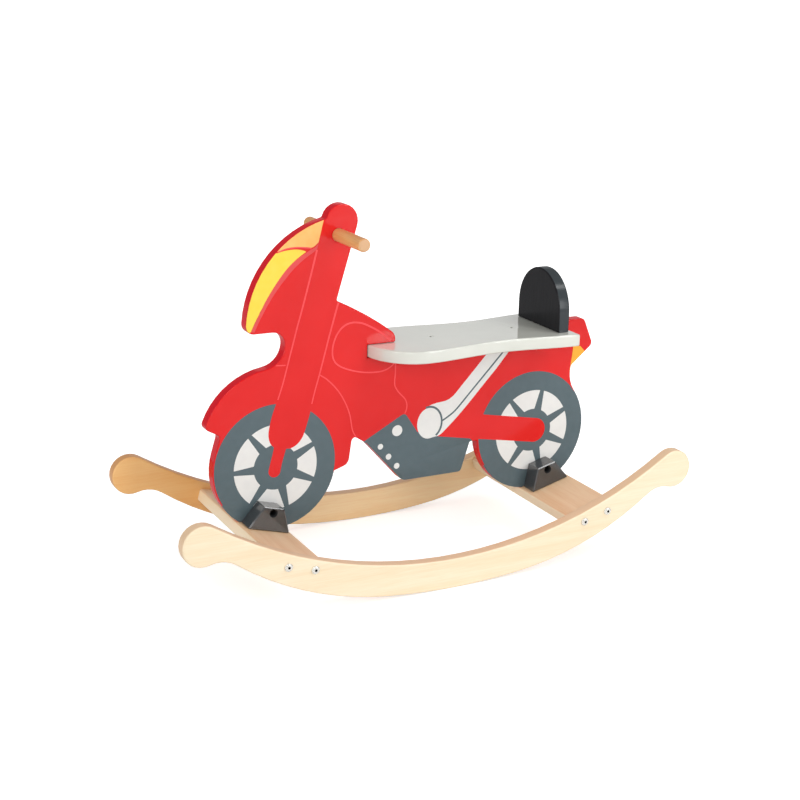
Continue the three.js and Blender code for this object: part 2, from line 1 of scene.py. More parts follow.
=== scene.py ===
# A child's wooden rocking motorcycle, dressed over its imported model.
# Metres, +Z up, front towards -X, left side towards -Y, standing on the floor at z = 0. The sizes
# of patterns, and the drawing of the print, are in mm.
import json
import math

import bpy
from mathutils import Matrix, Vector

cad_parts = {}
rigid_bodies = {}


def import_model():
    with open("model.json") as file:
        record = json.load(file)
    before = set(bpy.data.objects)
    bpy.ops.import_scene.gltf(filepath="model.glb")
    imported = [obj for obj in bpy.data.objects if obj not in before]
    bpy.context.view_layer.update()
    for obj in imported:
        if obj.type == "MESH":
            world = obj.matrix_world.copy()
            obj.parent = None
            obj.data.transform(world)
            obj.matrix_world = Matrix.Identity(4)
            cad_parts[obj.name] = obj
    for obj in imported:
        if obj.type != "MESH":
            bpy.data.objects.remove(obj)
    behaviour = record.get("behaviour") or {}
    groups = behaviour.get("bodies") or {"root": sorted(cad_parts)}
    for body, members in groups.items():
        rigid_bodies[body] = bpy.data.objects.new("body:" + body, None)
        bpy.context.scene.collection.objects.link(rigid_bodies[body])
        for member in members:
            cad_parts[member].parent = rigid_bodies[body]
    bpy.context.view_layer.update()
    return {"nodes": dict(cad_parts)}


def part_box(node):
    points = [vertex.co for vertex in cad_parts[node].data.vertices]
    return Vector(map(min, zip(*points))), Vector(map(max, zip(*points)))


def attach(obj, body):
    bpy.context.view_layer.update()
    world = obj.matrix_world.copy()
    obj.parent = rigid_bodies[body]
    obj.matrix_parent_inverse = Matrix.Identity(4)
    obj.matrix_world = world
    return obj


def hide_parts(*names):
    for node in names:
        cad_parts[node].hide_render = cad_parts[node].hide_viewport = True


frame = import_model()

# ROCKERS
# Two curved runners sawn from birch boards, their long edges rounded and their ends round. The
# wood is sanded and clear lacquered: the broad face stays pale, and the narrow edge is painted
# darker, as painted shade. The grain runs along the board.
weld_gap = 2e-6
flat_angle = math.radians(0.3)
sharp_angle = math.radians(35)
usual_smooth = math.radians(50)


def linear(code):
    """The linear colour of an sRGB hex code."""
    parts = [int(code[i : i + 2], 16) / 255 for i in (1, 3, 5)]
    return (*[p / 12.92 if p <= 0.04045 else ((p + 0.055) / 1.055) ** 2.4 for p in parts], 1.0)


def add_node(finish, kind, settings, links):
    """Adds a node to a finish, sets its options and sockets, and links sockets into it."""
    node = finish.node_tree.nodes.new("ShaderNode" + kind)
    for name, value in settings.items():
        if name == "stops":
            stops = node.color_ramp.elements
            stops.remove(stops[1])
            for i, (place, code) in enumerate(value):
                stop = stops[0] if i == 0 else stops.new(place)
                stop.position = place
                stop.color = linear(code)
        elif isinstance(name, int) or name in node.inputs:
            node.inputs[name].default_value = value
        else:
            setattr(node, name, value)
    for name, source in links.items():
        finish.node_tree.links.new(source, node.inputs[name])
    return node.outputs


def new_finish(name, settings):
    """A material with the constants of its shader set."""
    finish = bpy.data.materials.new(name)
    finish.use_nodes = True
    for socket, value in settings.items():
        finish.node_tree.nodes["Principled BSDF"].inputs[socket].default_value = value
    return finish


def wire(finish, **sources):
    """Links patterns to the shader's sockets."""
    for socket, source in sources.items():
        shader = finish.node_tree.nodes["Principled BSDF"]
        finish.node_tree.links.new(source, shader.inputs[socket.replace("_", " ")])


def colour_of(finish):
    """The socket that colours a finish so far."""
    return finish.node_tree.nodes["Principled BSDF"].inputs["Base Color"].links[0].from_socket


def tone_by_side(finish, axis, stops, code):
    """Lays a colour over a finish by how squarely a face is turned to an axis."""
    coords = add_node(finish, "TexCoord", {}, {})
    turned = add_node(finish, "SeparateXYZ", {}, {"Vector": coords["Normal"]})
    facing = add_node(finish, "Math", {"operation": "ABSOLUTE"}, {0: turned[axis]})
    share = add_node(finish, "ValToRGB", {"stops": stops}, {"Fac": facing[0]})
    links = {"Fac": share[0], "Color1": colour_of(finish)}
    toned = add_node(finish, "MixRGB", {"Color2": linear(code)}, links)
    wire(finish, Base_Color=toned[0])


def lacquered_wood(name, along, broad, pale, dark, edge):
    """Wood, sanded and clear lacquered: satin, with its grain showing as fibres, soft growth bands
    and short dark flecks. along is the grain's axis and broad the broad face's; pale, dark and edge
    are its tones, and edge also colours the faces not turned to broad, lighter or darker than the
    broad face, as painted light or shade by side. The sizes are in mm, and the fibres coarser than
    real ones, so that they show."""
    fibre_width, fibre_length, band_width = 1.0, 28.0, 12.0
    finish = new_finish(name, {"IOR": 1.5, "Coat Weight": 0.2, "Coat Roughness": 0.2})
    coords = add_node(finish, "TexCoord", {}, {})
    fine = [1000 / (fibre_length if axis == along else fibre_width) for axis in "XYZ"]
    broader = [scale / band_width for scale in fine]
    fibres = add_node(finish, "Mapping", {"Scale": fine}, {"Vector": coords["Object"]})
    growth = add_node(finish, "Mapping", {"Scale": broader}, {"Vector": coords["Object"]})
    fibre = add_node(
        finish, "TexNoise", {"Scale": 0.9, "Detail": 3.0, "Roughness": 0.6}, {"Vector": fibres[0]}
    )
    band = add_node(
        finish,
        "TexNoise",
        {"Scale": 0.8, "Detail": 3.0, "Roughness": 0.5, "Distortion": 0.5},
        {"Vector": growth[0]},
    )
    fibre_part = add_node(finish, "Math", {"operation": "MULTIPLY", 1: 0.4}, {0: fibre[0]})
    band_part = add_node(finish, "Math", {"operation": "MULTIPLY", 1: 0.6}, {0: band[0]})
    grain = add_node(finish, "Math", {"operation": "ADD"}, {0: fibre_part[0], 1: band_part[0]})
    wood = add_node(finish, "ValToRGB", {"stops": [(0.36, dark), (0.6, pale)]}, {"Fac": grain[0]})
    speck = add_node(finish, "TexNoise", {"Scale": 1.7, "Detail": 1.0}, {"Vector": fibres[0]})
    flecks = add_node(
        finish, "ValToRGB", {"stops": [(0.68, "#000000"), (0.8, "#8c8c8c")]}, {"Fac": speck[0]}
    )
    flecked = add_node(
        finish, "MixRGB", {"Color2": linear(edge)}, {"Fac": flecks[0], "Color1": wood[0]}
    )
    gloss = add_node(
        finish,
        "MapRange",
        {"From Min": 0.3, "From Max": 0.7, "To Min": 0.36, "To Max": 0.5},
        {"Value": grain[0]},
    )
    relief = add_node(
        finish, "Bump", {"Strength": 0.15, "Distance": 0.0002}, {"Height": grain[0]}
    )
    wire(finish, Base_Color=flecked[0], Roughness=gloss[0], Normal=relief[0])
    # Painted light and shade by side: faces not turned to broad take the edge tone.
    tone_by_side(finish, broad, [(0.15, "#ffffff"), (0.7, "#000000")], edge)
    return finish


def take_up(piece):
    """Selects one piece alone and makes it the active one."""
    bpy.ops.object.select_all(action="DESELECT")
    piece.select_set(True)
    bpy.context.view_layer.objects.active = piece


def made_from(node, name, finish, smooth=usual_smooth, ease=0.0):
    """A merged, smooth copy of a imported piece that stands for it, its sharp edges eased or not."""
    piece = bpy.data.objects.new(name, frame["nodes"][node].data.copy())
    bpy.context.scene.collection.objects.link(piece)
    take_up(piece)
    bpy.ops.object.mode_set(mode="EDIT")
    bpy.ops.mesh.select_all(action="SELECT")
    bpy.ops.mesh.remove_doubles(threshold=weld_gap)
    bpy.ops.mesh.dissolve_limited(angle_limit=flat_angle)
    bpy.ops.object.mode_set(mode="OBJECT")
    bpy.ops.object.shade_smooth_by_angle(angle=smooth)
    if ease:
        eased = piece.modifiers.new("eased", "BEVEL")
        eased.width = ease
        eased.segments = 1
        eased.use_clamp_overlap = False
        eased.limit_method = "ANGLE"
        eased.angle_limit = sharp_angle
        bpy.ops.object.modifier_apply(modifier="eased")
        bpy.ops.object.shade_smooth_by_angle(angle=smooth)
    piece.modifiers.new("flat", "WEIGHTED_NORMAL").keep_sharp = True
    bpy.ops.object.modifier_apply(modifier="flat")
    piece.data.materials.clear()
    piece.data.materials.append(finish)
    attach(piece, "root")
    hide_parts(node)
    return piece


# The left-hand board is pale sapwood. The right-hand one is coloured warmer, as painted shade and
# bounced light, and grows darker from 0.1 m in front of the middle, as a painted shadow.
near_birch = lacquered_wood("birch_sanded_lacquered", "X", "Y", "#f5e4c7", "#edd8b4", "#e6c5a0")
far_birch_painted_shade = lacquered_wood(
    "birch_sanded_lacquered_painted_shade", "X", "Y", "#fce0b0", "#f6cf98", "#e2b88c"
)
# Painted shadow: the right-hand board's front end is tinted darker, from 0.1 m in front.
painted_shadow_stops = [(0.1, "#ffffff"), (0.27, "#f0d0a6"), (0.34, "#f6dcb8")]
far_coords = add_node(far_birch_painted_shade, "TexCoord", {}, {})
far_split = add_node(far_birch_painted_shade, "SeparateXYZ", {}, {"Vector": far_coords["Object"]})
far_reach = add_node(far_birch_painted_shade, "Math", {"operation": "MULTIPLY", 1: -1.0}, {0: far_split["X"]})
far_painted_shadow = add_node(far_birch_painted_shade, "ValToRGB", {"stops": painted_shadow_stops}, {"Fac": far_reach[0]})
far_links = {"Color1": colour_of(far_birch_painted_shade), "Color2": far_painted_shadow[0]}
far_all = add_node(far_birch_painted_shade, "MixRGB", {"blend_type": "MULTIPLY", "Fac": 1.0}, far_links)
wire(far_birch_painted_shade, Base_Color=far_all[0])
made_from("rocker_left", "rocker_board_left", near_birch)
made_from("rocker_right", "rocker_board_right", far_birch_painted_shade)

# CROSS BOARDS
# Two birch boards, planed and with rounded long edges, that lean with the rockers. They sit
# between the rockers, and their grain runs across the toy.
# Painted light: the boards' narrow edges take a paler tone than their tops.
cross_birch = lacquered_wood("birch_planed_lacquered", "Y", "Z", "#efcea8", "#e5ba8e", "#fcebca")
for end in ("front", "rear"):
    made_from(f"crossboard_{end}", f"cross_board_{end}", cross_birch)

# ROCKER BOLTS
# Zinc-plated steel button-head bolts, two at each joint of rocker and cross board, drawn up in
# barrel nuts that lie across the board. The heads are domed, tumbled and plated, and have a
# hexagon socket whose inside is coloured dark steel, as painted shade.
bolt_head = 0.0056
bolt_rise = 0.0024
bolt_shank = 0.003
bolt_length = 0.060
socket_width = 0.0021
socket_depth = 0.0040
hair_breadth = 0.0001
board_lean = math.radians(15)
bolt_smooth = math.radians(32)
cap_turn = 0.99
zinc_mark = 1.11
steel_mottle = 0.833

# The steps of the domed head: how much wider each gets, and its share of the rise.
dome_steps = ((bolt_head / bolt_shank, 0), (1, 0.25), (0.97, 0.3), (0.88, 0.25), (0.75, 0.2))


def clouded(finish, source, size, detail, tones, gloss=None, spread=0.2):
    """Clouds of a size in mm, which vary a finish's tone and, where it is given, its roughness."""
    grain = {"Scale": 1000 / size, "Detail": detail}
    cloud = add_node(finish, "TexNoise", grain, {"Vector": source})
    stops = [(0.5 - spread, tones[0]), (0.5 + spread, tones[1])]
    tone = add_node(finish, "ValToRGB", {"stops": stops}, {"Fac": cloud[0]})
    wire(finish, Base_Color=tone[0])
    if gloss:
        reach = {"From Min": 0.3, "From Max": 0.7, "To Min": gloss[0], "To Max": gloss[1]}
        sheen = add_node(finish, "MapRange", reach, {"Value": cloud[0]})
        wire(finish, Roughness=sheen[0])
    return cloud[0]


# Tumbled and zinc-plated steel: bright, with a whitish haze and marks about 1 mm across, coarser
# than real ones so that they show.
zinc = new_finish("zinc_plated_steel", {"Metallic": 0.6})
zinc_coords = add_node(zinc, "TexCoord", {}, {})
zinc_cloud = clouded(
    zinc, zinc_coords["Object"], zinc_mark, 3.0, ("#deddd6", "#f4f3ec"), (0.2, 0.36), spread=0.15
)
zinc_relief = add_node(zinc, "Bump", {"Strength": 0.1, "Distance": 0.0001}, {"Height": zinc_cloud})
wire(zinc, Normal=zinc_relief[0])

# Dark, dull steel, painted shade in sockets and holes, with mottles a little under 1 mm across.
recess_shade_steel = new_finish("dark_steel_painted_shade", {"Metallic": 1.0})
recess_shade_coords = add_node(recess_shade_steel, "TexCoord", {}, {})
clouded(recess_shade_steel, recess_shade_coords["Object"], steel_mottle, 2.0, ("#2c2b2a", "#454443"), (0.45, 0.6))

bpy.ops.object.select_all(action="DESELECT")
bpy.ops.mesh.primitive_cylinder_add(
    vertices=48, radius=bolt_shank, depth=bolt_length, location=(0, 0, -bolt_length / 2)
)
pattern_bolt = bpy.context.object
bpy.ops.object.transform_apply()
bpy.ops.object.mode_set(mode="EDIT")
bpy.ops.mesh.select_all(action="DESELECT")
bpy.ops.object.mode_set(mode="OBJECT")
for face in pattern_bolt.data.polygons:
    face.select = face.normal.z > cap_turn
bpy.ops.object.mode_set(mode="EDIT")
bpy.ops.mesh.select_mode(type="FACE")
for wide, rise in dome_steps:
    bpy.ops.mesh.extrude_region_move(
        TRANSFORM_OT_translate={"value": (0, 0, rise * bolt_rise)}
    )
    bpy.ops.transform.resize(value=(wide, wide, 1))
bpy.ops.object.mode_set(mode="OBJECT")
bpy.ops.mesh.primitive_cylinder_add(
    vertices=6, radius=socket_width, depth=2 * socket_depth, location=(0, 0, bolt_rise)
)
socket = bpy.context.object
take_up(pattern_bolt)
pattern_bolt.modifiers.new("socket", "BOOLEAN").object = socket
bpy.ops.object.modifier_apply(modifier="socket")
bpy.data.objects.remove(socket)
bpy.ops.object.shade_smooth_by_angle(angle=bolt_smooth)
pattern_bolt.data.materials.append(zinc)
pattern_bolt.data.materials.append(recess_shade_steel)
# Painted shade: the socket's inner faces take the dark steel.
for face in pattern_bolt.data.polygons:
    near_axis = face.center.xy.length < socket_width + hair_breadth
    sunk = bolt_rise - socket_depth - hair_breadth < face.center.z < bolt_rise - hair_breadth
    face.material_index = 1 if near_axis and sunk else 0
for end, lean in (("front", -board_lean), ("rear", board_lean)):
    for hand, outwards in (("left", -1), ("right", 1)):
        for row in ("upper", "lower"):
            node = f"rocker_bolt_{end}_{hand}_{row}"
            low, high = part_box(node)
            seat = high.y - bolt_rise if outwards > 0 else low.y + bolt_rise
            bolt = pattern_bolt.copy()
            bolt.name = f"button_bolt_{end}_{hand}_{row}"
            bolt.data = pattern_bolt.data.copy()
            spun = Matrix.Rotation(lean, 4, "Z")
            stood = Matrix.Rotation(-outwards * math.pi / 2, 4, "X")
            centre = Matrix.Translation(((low.x + high.x) / 2, seat, (low.z + high.z) / 2))
            bolt.data.transform(centre @ stood @ spun)
            bpy.context.scene.collection.objects.link(bolt)
            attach(bolt, "root")
            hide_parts(node)
bpy.data.objects.remove(pattern_bolt)

# HIDDEN FIXINGS
# Barrel nuts and wood screws of plated steel, and the bolt and nut through each pair of blocks,
# coloured dark steel as painted shade in their holes. Only the ends of some of them show, deep in
# their holes.
for node, piece in frame["nodes"].items():
    if node.startswith(("barrel_nut", "bracket_screw", "backrest_screw", "handlebar_screw")):
        piece.data.materials.clear()
        piece.data.materials.append(zinc)
    elif node.startswith(("panel_bolt", "panel_nut")):
        piece.data.materials.clear()
        piece.data.materials.append(recess_shade_steel)

# BLOCKS
# Four black plastic blocks on the cross boards, in pairs that clamp the body panel. They come from
# the mould with a smooth, glossy skin and eased edges, which catch the light as a thin line, and
# the deep hole for the bolt is drilled afterwards. The hole's inside is painted darker and matt,
# as painted shade.
block_ease = 0.0015
block_smooth = math.radians(32)
block_cloud = 16.7
block_tooth = 0.667
bore_reach = 0.0058
bore_turn = 0.9
bore_mark = 0.667


def toothed(finish, source, size, detail, strength, depth):
    """A fine relief of a size in mm on a finish: the tooth of a skin or the peel of a spray."""
    grain = {"Scale": 1000 / size, "Detail": detail}
    bumps = add_node(finish, "TexNoise", grain, {"Vector": source})
    relief = add_node(
        finish, "Bump", {"Strength": strength, "Distance": depth}, {"Height": bumps[0]}
    )
    wire(finish, Normal=relief[0])


# Moulded plastic: near black and glossy, with clouds 17 mm across and a skin tooth under 1 mm.
black_block = new_finish(
    "moulded_black_plastic", {"IOR": 1.5, "Coat Weight": 1.0, "Coat Roughness": 0.06}
)
block_coords = add_node(black_block, "TexCoord", {}, {})
clouded(black_block, block_coords["Object"], block_cloud, 3.0, ("#313335", "#3b3d3f"), (0.28, 0.4))
toothed(black_block, block_coords["Object"], block_tooth, 2.0, strength=0.1, depth=0.0001)

# Bore: darker and matt as painted shade, with tool marks under 1 mm, so a hole swallows the light.
bore_shade_finish = new_finish("bore_painted_shade_plastic", {"IOR": 1.5, "Specular IOR Level": 0.1})
bore_coords = add_node(bore_shade_finish, "TexCoord", {}, {})
clouded(bore_shade_finish, bore_coords["Object"], bore_mark, 2.0, ("#1b1c1d", "#262728"), (0.7, 0.85))
for end in ("front", "rear"):
    low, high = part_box(f"panel_bolt_{end}")
    axis = Vector(((low.x + high.x) / 2, (low.z + high.z) / 2))
    for hand in ("left", "right"):
        node, name = f"bracket_{end}_{hand}", f"block_{end}_{hand}"
        block = made_from(node, name, black_block, block_smooth, block_ease)
        block.data.materials.append(bore_shade_finish)
        for face in block.data.polygons:
            if abs(face.normal.y) < bore_turn and (face.center.xz - axis).length < bore_reach:
                face.material_index = 1

# BODY PANEL
# The motorcycle board: MDF sawn to its outline, edges rounded, and sprayed red all over. The
# sprayed lacquer has a faint orange peel, and its edges are painted a deeper crimson, as painted
# shade.
red_cloud = 71.4
red_peel = 2.22

# Sprayed lacquer: even and satin, with clouds 71 mm across and peel of about 2 mm.
red_lacquer = new_finish(
    "sprayed_red_lacquer",
    {"IOR": 1.45, "Specular IOR Level": 0.0, "Coat Weight": 0.6, "Coat Roughness": 0.1},
)
red_coords = add_node(red_lacquer, "TexCoord", {}, {})
clouded(red_lacquer, red_coords["Object"], red_cloud, 2.0, ("#d71d1d", "#dc2222"), (0.28, 0.36))
# Painted shade: faces not turned to Y, the edges, take a deeper crimson.
tone_by_side(red_lacquer, "Y", [(0.3, "#ffffff"), (0.8, "#000000")], "#d60a20")
toothed(red_lacquer, red_coords["Object"], red_peel, 2.0, strength=0.06, depth=0.0002)
body_panel = made_from("body_panel", "body_board", red_lacquer)

# PRINT ON THE BODY PANEL
# Both faces are screen printed over the red: tyres, spokes and engine in dark grey, wheel windows
# and exhaust in pale grey, lamps and windscreen in yellow and orange, and thin light red lines.
# The ink is a film of 0.1 mm, half of it sunk in the lacquer.

# The film, and the plates that it is cut with, are in metres. Plates that meet differ in depth, so
# that no two end in one plane.
ink_lift = 0.00005
plate_middle = -0.010
plate_depth = 0.008
line_depth = 0.009
mask_depth = 0.010
plate_weld = 1e-6
film_smooth = math.radians(40)

# How far each ink follows the panel's rounded edge.
flat_reach = math.radians(2)
half_round_reach = math.radians(48)
whole_reach = math.radians(82)

# The drawing is in mm from here on, and its angles in degrees. tyre_run_overs holds the angles
# between which the front and the rear tyre are inked right over the panel's edge.
wheel_centres = ((-202.7, 157.0), (204.7, 157.0))
tyre_centres = ((-203.0, 157.8), (203.0, 157.8))
tyre_radius = 88.6
tyre_run_overs = ((-150, -13), (-150, 34))
rim_radius = 60.7
hub_radius = 32.2
spoke_shift = (2.1, -0.5)
spoke_count = 7
first_spoke = 26.2
spoke_foot = 12.2
spoke_tip = 6.9
spoke_taper = (spoke_foot - spoke_tip) / (rim_radius - hub_radius)
past_hub = 4
past_rim = 5
past_edge = 6
bold_line = 2.6
fine_line = 1.7
exhaust_ring_line = 3.0
exhaust_pipe_line = 2.5
ink_mottle = 11.1
ink_tooth = 0.714


def arc(centre, radii, start, end, steps):
    """Points on an ellipse between two angles in degrees."""
    points = []
    for i in range(steps + 1):
        angle = math.radians(start + (end - start) * i / steps)
        out, up = radii[0] * math.cos(angle), radii[1] * math.sin(angle)
        points.append((centre[0] + out, centre[1] + up))
    return points


def flowing(points, steps=5):
    """A smooth run through the points."""
    ends = [points[0], *points, points[-1]]
    run = []
    for a, b, c, d in zip(ends, ends[1:], ends[2:], ends[3:]):
        for i in range(steps):
            t = i / steps
            pulls = (
                -t + 2 * t**2 - t**3,
                2 - 5 * t**2 + 3 * t**3,
                t + 4 * t**2 - 3 * t**3,
                -(t**2) + t**3,
            )
            rows = zip(a, b, c, d)
            run.append(tuple(sum(p * v for p, v in zip(pulls, row)) / 2 for row in rows))
    return [*run, points[-1]]


def stroke(points, start_width, end_width=None):
    """The outline of a pen stroke along a run of points."""
    end_width = end_width or start_width
    left, right = [], []
    for i, point in enumerate(points):
        before, after = points[max(i - 1, 0)], points[min(i + 1, len(points) - 1)]
        along = Vector(after) - Vector(before)
        half = (start_width + (end_width - start_width) * i / (len(points) - 1)) / 2
        side = Vector((-along.y, along.x)).normalized() * half
        left.append((point[0] + side.x, point[1] + side.y))
        right.append((point[0] - side.x, point[1] - side.y))
    return left + right[::-1]


def stencil(outlines, depth):
    """Outlines, cut as one upright plate that reaches its depth to both sides of plate_middle."""
    drawing = bpy.data.curves.new("stencil", "CURVE")
    drawing.dimensions = "2D"
    drawing.fill_mode = "BOTH"
    drawing.extrude = depth
    for outline in outlines:
        spline = drawing.splines.new("POLY")
        spline.points.add(len(outline) - 1)
        for point, (x, z) in zip(spline.points, outline):
            point.co = (x / 1000, z / 1000, 0, 1)
        spline.use_cyclic_u = True
    plate = bpy.data.objects.new("stencil", drawing)
    bpy.context.scene.collection.objects.link(plate)
    take_up(plate)
    bpy.ops.object.convert(target="MESH")
    stood = Matrix.Rotation(math.pi / 2, 4, "X")
    plate.data.transform(Matrix.Translation((0, plate_middle, 0)) @ stood)
    bpy.ops.object.mode_set(mode="EDIT")
    bpy.ops.mesh.select_all(action="SELECT")
    bpy.ops.mesh.remove_doubles(threshold=plate_weld)
    bpy.ops.mesh.normals_make_consistent(inside=False)
    bpy.ops.object.mode_set(mode="OBJECT")
    return plate


def cut(piece, tool, operation):
    """Cuts a piece with a tool."""
    take_up(piece)
    cutter = piece.modifiers.new("cut", "BOOLEAN")
    cutter.operation = operation
    cutter.object = tool
    bpy.ops.object.modifier_apply(modifier="cut")


def printed(name, finish, ground, stencils, masks):
    """Ink on both faces of the panel: its skin inside the stencils and outside the masks."""
    films = []
    for one in stencils:
        film = ground.copy()
        film.data = ground.data.copy()
        bpy.context.scene.collection.objects.link(film)
        cut(film, one, "INTERSECT")
        for mask in masks:
            cut(film, mask, "DIFFERENCE")
        films.append(film)
    bpy.ops.object.select_all(action="DESELECT")
    for film in films:
        film.select_set(True)
    bpy.context.view_layer.objects.active = films[0]
    if len(films) > 1:
        bpy.ops.object.join()
    left = films[0]
    bpy.ops.object.shade_smooth_by_angle(angle=film_smooth)
    left.name = f"{name}_left"
    right = left.copy()
    right.name = f"{name}_right"
    right.data = left.data.copy()
    right.data.transform(Matrix.Diagonal((1, -1, 1, 1)))
    right.data.flip_normals()
    bpy.context.scene.collection.objects.link(right)
    for film in (left, right):
        film.data.materials.clear()
        film.data.materials.append(finish)
        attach(film, "root")


def screen_ink(name, pale, dark):
    """Screen ink: an even satin film, with a faint mottle 11 mm across and a tooth under 1 mm."""
    finish = new_finish(name, {"IOR": 1.45, "Specular IOR Level": 0.3, "Coat Weight": 0.05})
    coords = add_node(finish, "TexCoord", {}, {})
    clouded(finish, coords["Object"], ink_mottle, 3.0, (dark, pale), (0.3, 0.4))
    toothed(finish, coords["Object"], ink_tooth, 1.0, strength=0.05, depth=0.0001)
    return finish


def skin(steepest):
    """The panel's left face, with as much of its rounded edge as is less steep, as a thin film."""
    film = bpy.data.objects.new("film", body_panel.data.copy())
    bpy.context.scene.collection.objects.link(film)
    take_up(film)
    for face in film.data.polygons:
        face.select = face.normal.y > -math.cos(steepest)
    bpy.ops.object.mode_set(mode="EDIT")
    bpy.ops.mesh.select_mode(type="FACE")
    bpy.ops.mesh.delete(type="FACE")
    bpy.ops.object.mode_set(mode="OBJECT")
    ink = film.modifiers.new("ink", "SOLIDIFY")
    ink.thickness = 2 * ink_lift
    ink.offset = 0
    bpy.ops.object.modifier_apply(modifier="ink")
    return film


flat_skin = skin(flat_reach)
half_round_skin = skin(half_round_reach)
whole_skin = skin(whole_reach)

wheel_rings = []
spokes = []
for x, z in wheel_centres:
    wheel_rings.append(arc((x, z), (rim_radius, rim_radius), 0, 357, 119))
    wheel_rings.append(arc((x, z), (hub_radius, hub_radius), 0, 355, 71))
    middle = Vector((x + spoke_shift[0], z + spoke_shift[1]))
    for i in range(spoke_count):
        angle = math.radians(first_spoke + 360 / spoke_count * i)
        out = Vector((math.cos(angle), math.sin(angle)))
        foot = middle + out * (hub_radius - past_hub)
        tip = middle + out * (rim_radius + past_rim)
        foot_width = spoke_foot + past_hub * spoke_taper
        tip_width = spoke_tip - past_rim * spoke_taper
        spokes.append(stroke([tuple(foot), tuple(tip)], foot_width, tip_width))

tyres = []
over_edge = tyre_radius + past_edge
for centre, (first, last) in zip(tyre_centres, tyre_run_overs):
    open_side = arc(centre, (over_edge, over_edge), first, last, 60)
    inner_side = arc(centre, (tyre_radius, tyre_radius), last, first + 360, 100)
    tyres.append([*open_side, *inner_side])

exhaust = [
    *arc((32.3, 189.3), (19.0, 22.8), 285, 105, 30),
    (28.0, 213.6), (36.0, 216.4), (44.0, 218.0), (52.0, 218.7), (58.0, 219.4), (64.0, 221.3),
    (70.0, 225.0), (76.0, 230.8), (84.0, 239.5), (98.0, 254.3), (121.0, 279.0), (140.3, 300.0),
    (175.7, 300.0), (157.0, 278.0), (140.0, 258.0), (130.0, 247.7), (120.0, 237.0),
    (110.0, 226.3), (100.0, 215.7), (90.0, 205.3), (80.0, 195.3), (70.0, 186.0), (60.0, 177.2),
    (52.0, 170.6), (47.0, 168.5),
]
exhaust_lines = [
    stroke(arc((32.2, 189.6), (20.6, 23.9), -56, 106, 24), exhaust_ring_line),
    stroke(
        flowing([
            (53.9, 190.6), (62.0, 194.9), (72.0, 201.2), (80.0, 208.6), (90.0, 219.0),
            (100.0, 229.5), (120.0, 250.2), (140.0, 271.0), (167.0, 299.5),
        ]),
        exhaust_pipe_line,
    ),
]
engine_dots = [
    arc((-18.3, 184.8), (8.0, 8.0), 0, 350, 35),
    arc((-44.3, 164.5), (4.2, 4.2), 0, 340, 17),
    arc((-31.2, 148.0), (4.4, 4.4), 0, 340, 17),
    arc((-18.0, 132.5), (4.4, 4.4), 0, 340, 17),
]
engine = [
    (-72.0, 174.8), (-67.0, 177.4), (-12.5, 206.6), (-9.0, 207.8), (-6.0, 207.2), (-3.5, 204.8),
    (2.0, 196.8), (14.0, 178.6), (34.0, 180.0), (47.0, 167.8), (100.0, 157.6), (108.0, 150.0),
    (104.0, 100.0), (-30.0, 100.0), (-80.0, 165.0),
]
fork = [
    *flowing([
        (-188.0, 287.0), (-193.6, 268.0), (-200.4, 250.0), (-205.6, 237.0), (-209.4, 225.0),
        (-212.3, 212.0), (-213.2, 204.0), (-212.2, 196.0), (-209.3, 189.8), (-205.2, 185.4),
    ]),
    (-207.5, 175.0), (-210.6, 164.0),
    *arc((-204.6, 151.3), (8.8, 8.8), 164, 350, 16),
    (-193.1, 163.0), (-190.0, 173.0), (-187.6, 181.0),
    *flowing([
        (-181.0, 180.7), (-174.5, 183.2), (-168.5, 187.6), (-163.6, 194.0), (-160.2, 201.5),
        (-157.2, 210.5), (-154.2, 220.0), (-150.8, 232.0), (-146.4, 248.0), (-140.0, 272.0),
    ]),
]
swing_arm = [
    (104.0, 156.8), (104.0, 194.5), (119.0, 191.6), (212.4, 174.2),
    *arc((209.2, 156.2), (18.3, 18.3), 75, -95, 18),
]
headlamp = [
    *flowing([(-199.5, 451.0), (-190.0, 453.2), (-178.0, 454.2), (-168.0, 453.5), (-160.5, 451.2)]),
    *flowing([
        (-158.5, 449.9), (-166.0, 445.3), (-175.0, 438.8), (-184.0, 431.0), (-192.0, 422.3),
        (-200.0, 412.0), (-207.5, 401.5), (-215.0, 390.0), (-221.5, 378.5), (-228.0, 367.0),
        (-233.5, 356.5), (-237.2, 349.0),
    ]),
    (-250.0, 345.0), (-258.0, 380.0), (-243.0, 420.0), (-215.0, 452.0),
]
windscreen = [
    (-128.0, 502.0), (-132.3, 494.0), (-135.0, 484.5), (-138.0, 472.5), (-140.7, 461.4),
    *flowing([
        (-145.6, 457.2), (-151.0, 454.9), (-160.0, 456.4), (-172.0, 457.5), (-184.0, 457.0),
        (-192.0, 455.2), (-199.5, 452.7),
    ]),
    (-206.0, 455.0), (-190.0, 475.0), (-160.0, 497.0),
]
tail_lamp = [
    (270.6, 279.0), (269.0, 262.0), (266.0, 240.0), (300.0, 262.0), (290.6, 268.4), (283.0, 276.4),
]
nose_band = [
    *flowing([
        (-141.0, 459.6), (-145.2, 455.4), (-151.0, 452.6), (-158.0, 448.8), (-166.6, 444.2),
        (-175.7, 437.8), (-184.8, 430.0), (-192.9, 421.2), (-200.9, 411.0), (-208.4, 400.5),
        (-216.0, 389.0), (-222.5, 377.6), (-229.0, 366.0), (-234.3, 355.6), (-237.6, 348.6),
    ]),
    *flowing([
        (-232.0, 348.0), (-227.2, 358.4), (-221.0, 369.5), (-214.0, 381.5), (-206.0, 393.5),
        (-196.5, 406.0), (-186.5, 417.5), (-176.5, 428.0), (-166.0, 436.8), (-156.0, 443.8),
        (-147.5, 448.8), (-142.6, 452.6),
    ]),
]
